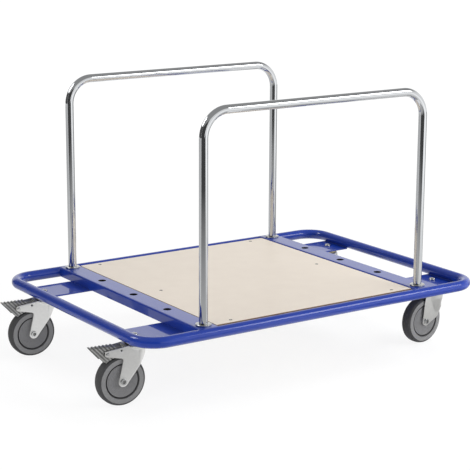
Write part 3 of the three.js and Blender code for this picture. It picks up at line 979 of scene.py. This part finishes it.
world = bpy.data.worlds.new("white_studio")
scene.world = world
world.use_nodes = True
sky = world.node_tree
sky.nodes.clear()
path = add(sky, "ShaderNodeLightPath")
shiny = add(
    sky,
    "ShaderNodeMath",
    {0: path.outputs["Is Glossy Ray"], 1: path.outputs["Is Transmission Ray"]},
    operation="MAXIMUM",
)
seen = add(
    sky,
    "ShaderNodeMath",
    {0: path.outputs["Is Camera Ray"], 1: shiny.outputs[0]},
    operation="MAXIMUM",
)
way_up = add(
    sky,
    "ShaderNodeSeparateXYZ",
    {0: add(sky, "ShaderNodeTexCoord").outputs["Generated"]},
)
ceiling = add(
    sky,
    "ShaderNodeMapRange",
    {"Value": way_up.outputs["Z"], "From Min": 0.3, "From Max": 0.55, "To Min": 1, "To Max": 0.36},
)
room = add(sky, "ShaderNodeBackground", {"Color": (1, 1, 1, 1), "Strength": 0.5})
level = add(
    sky,
    "ShaderNodeMath",
    {0: ceiling.outputs["Result"], 1: path.outputs["Is Camera Ray"]},
    operation="MAXIMUM",
)
white = add(sky, "ShaderNodeBackground", {"Color": (1, 1, 1, 1), "Strength": level.outputs[0]})
both = add(
    sky,
    "ShaderNodeMixShader",
    {0: seen.outputs[0], 1: room.outputs[0], 2: white.outputs[0]},
)
add(sky, "ShaderNodeOutputWorld", {"Surface": both.outputs[0]})


def stage_sheet(name, size, matrix, finish):
    bm = fresh()
    bmesh.ops.create_grid(bm, x_segments=1, y_segments=1, size=0.5)
    bmesh.ops.scale(bm, vec=(*size, 1), verts=bm.verts[:])
    moved(bm, matrix)
    mesh = bpy.data.meshes.new(name)
    bm.to_mesh(mesh)
    bm.free()
    mesh.materials.append(finish)
    made = bpy.data.objects.new(name, mesh)
    scene.collection.objects.link(made)
    return made


def floor_finish():
    # Matt white studio floor: white to the camera and to mirrors, with the cart's soft shadow kept.
    made = bpy.data.materials.new("matt_white_studio_floor")
    made.use_nodes = True
    made.cycles.emission_sampling = "NONE"
    tree = made.node_tree
    tree.nodes.clear()
    way = add(tree, "ShaderNodeLightPath")
    place = add(tree, "ShaderNodeTexCoord").outputs["Object"]
    away = add(tree, "ShaderNodeVectorMath", {0: place}, operation="LENGTH")
    glowing = add(
        tree,
        "ShaderNodeMapRange",
        {"Value": away.outputs["Value"], "From Min": 0.9, "From Max": 2.6, "To Min": 0.82, "To Max": 1},
    )
    shiny = add(
        tree,
        "ShaderNodeMath",
        {0: way.outputs["Is Glossy Ray"], 1: way.outputs["Is Transmission Ray"]},
        operation="MAXIMUM",
    )
    seen = add(
        tree,
        "ShaderNodeMath",
        {0: way.outputs["Is Camera Ray"], 1: shiny.outputs[0]},
        operation="MAXIMUM",
    )
    share = add(
        tree,
        "ShaderNodeMath",
        {0: seen.outputs[0], 1: glowing.outputs["Result"]},
        operation="MULTIPLY",
    )
    matt = add(tree, "ShaderNodeBsdfDiffuse", {"Color": (0.8, 0.8, 0.8, 1)})
    glow = add(tree, "ShaderNodeEmission", {"Color": (1, 1, 1, 1), "Strength": 1.06})
    mixed = add(
        tree,
        "ShaderNodeMixShader",
        {0: share.outputs[0], 1: matt.outputs[0], 2: glow.outputs[0]},
    )
    add(tree, "ShaderNodeOutputMaterial", {"Surface": mixed.outputs[0]})
    return made


stage_sheet("studio_floor", (30, 30), Matrix.Translation((0, 0, -0.0002)), floor_finish())


def softbox(name, power, size, place, aim=(0, 0, 0.3)):
    light = bpy.data.lights.new(name, "AREA")
    light.shape = "RECTANGLE"
    light.size, light.size_y = size
    light.energy = power
    lamp = bpy.data.objects.new(name, light)
    scene.collection.objects.link(lamp)
    towards = Vector(aim) - Vector(place)
    lamp.matrix_world = Matrix.Translation(place) @ towards.to_track_quat("-Z", "Y").to_matrix().to_4x4()
    lamp.visible_camera = False
    return lamp


softbox("overhead_softbox", 38, (1.5, 1.1), (1.8, -0.6, 2.6), (0, 0, 0.2)).visible_glossy = False
softbox("rear_softbox", 14, (2.2, 0.5), (0.2, 2.3, 2.2)).visible_glossy = False
softbox("front_right_softbox", 26, (1.4, 1.0), (2.3, -2.5, 2.2), (0.1, -0.2, 0.4))
softbox("left_rear_glint", 14, (0.9, 0.9), (-1.5, 1.1, 1.9)).visible_diffuse = False
softbox("low_right_fill", 20, (0.9, 0.8), (1.5, -1.8, 0.5), (0.2, -0.3, 0.15)).visible_glossy = False
softbox("left_fill", 8, (0.8, 0.8), (-1.7, -0.8, 0.6), (-0.4, 0, 0.15)).visible_glossy = False


def flag(name, near, far, corners):
    """A card that only metal and gloss see, dark or pale as that part of the studio is, with its
    level going from near to far over the first metres from the cart."""
    made = bpy.data.materials.new(name)
    made.use_nodes = True
    made.cycles.emission_sampling = "NONE"
    tree = made.node_tree
    tree.nodes.clear()
    place = add(tree, "ShaderNodeTexCoord").outputs["Object"]
    away = add(tree, "ShaderNodeVectorMath", {0: place}, operation="LENGTH")
    dim = add(
        tree,
        "ShaderNodeMapRange",
        {"Value": away.outputs["Value"], "From Min": 1.2, "From Max": 3, "To Min": near, "To Max": far},
    )
    card = add(tree, "ShaderNodeEmission", {"Color": (1, 1, 1, 1), "Strength": dim.outputs["Result"]})
    add(tree, "ShaderNodeOutputMaterial", {"Surface": card.outputs[0]})
    bm = fresh()
    bm.faces.new([bm.verts.new(c) for c in corners])
    mesh = bpy.data.meshes.new(name)
    bm.to_mesh(mesh)
    bm.free()
    mesh.materials.append(made)
    sheet = bpy.data.objects.new(name, mesh)
    scene.collection.objects.link(sheet)
    sheet.visible_camera = False
    sheet.visible_diffuse = False
    sheet.visible_shadow = False


def around(degrees, reach, z):
    """A point round the cart, from the camera's side towards the right of the picture."""
    turn = math.radians(degrees - 34.2)
    return (reach * math.sin(turn), -reach * math.cos(turn), z)


flag(
    "dark_floor_beyond_sweep",
    0.53,
    0.07,
    [around(-50, 0.8, 0.0005), around(-50, 8, 0.0005), around(46, 8, 0.0005), around(46, 0.8, 0.0005)],
)
flag(
    "dark_wall_at_left",
    0.1,
    0.1,
    [around(-138, 8, 0), around(-138, 8, 4.8), around(-52, 8, 4.8), around(-52, 8, 0)],
)
flag(
    "dark_wall_beyond_sweep",
    0.06,
    0.06,
    [around(-50, 6, 0), around(-50, 6, 3.5), around(22, 6, 3.5), around(22, 6, 0)],
)
flag(
    "pale_floor_at_left",
    0.72,
    0.6,
    [around(-58, 0.7, 0.0004), around(-58, 8, 0.0004), around(-165, 8, 0.0004), around(-165, 0.7, 0.0004)],
)
flag(
    "shaded_floor_at_right",
    0.45,
    0.45,
    [around(60, 0.6, 0.0004), around(60, 1.05, 0.0004), around(108, 1.05, 0.0004), around(108, 0.6, 0.0004)],
)
flag(
    "lit_floor_at_right",
    0.85,
    1.35,
    [around(52, 1.1, 0.0006), around(52, 8, 0.0006), around(90, 8, 0.0006), around(90, 1.1, 0.0006)],
)
flag(
    "shaded_floor_behind_right",
    0.42,
    0.42,
    [around(108, 1.1, 0.0006), around(108, 8, 0.0006), around(175, 8, 0.0006), around(175, 1.1, 0.0006)],
)

lens = bpy.data.cameras.new("photo_view")
lens.sensor_width = 36
lens.lens = 1531.74 / 470 * 36
lens.clip_end = 100
camera = bpy.data.objects.new("photo_view", lens)
scene.collection.objects.link(camera)
scene.camera = camera
yaw, pitch, roll = (math.radians(a) for a in (34.191, 13.2428, 0.2908))
ahead = Vector((math.sin(yaw) * math.cos(pitch), math.cos(yaw) * math.cos(pitch), -math.sin(pitch)))
level = Vector((math.cos(yaw), -math.sin(yaw), 0))
head = level.cross(ahead)
right = level * math.cos(roll) + head * math.sin(roll)
head = right.cross(ahead)
facing = Matrix((right, head, -ahead)).transposed().to_4x4()
camera.matrix_world = Matrix.Translation((-2.243342 + CART_X * MM, -3.270371, 1.240485)) @ facing

bpy.context.view_layer.update()
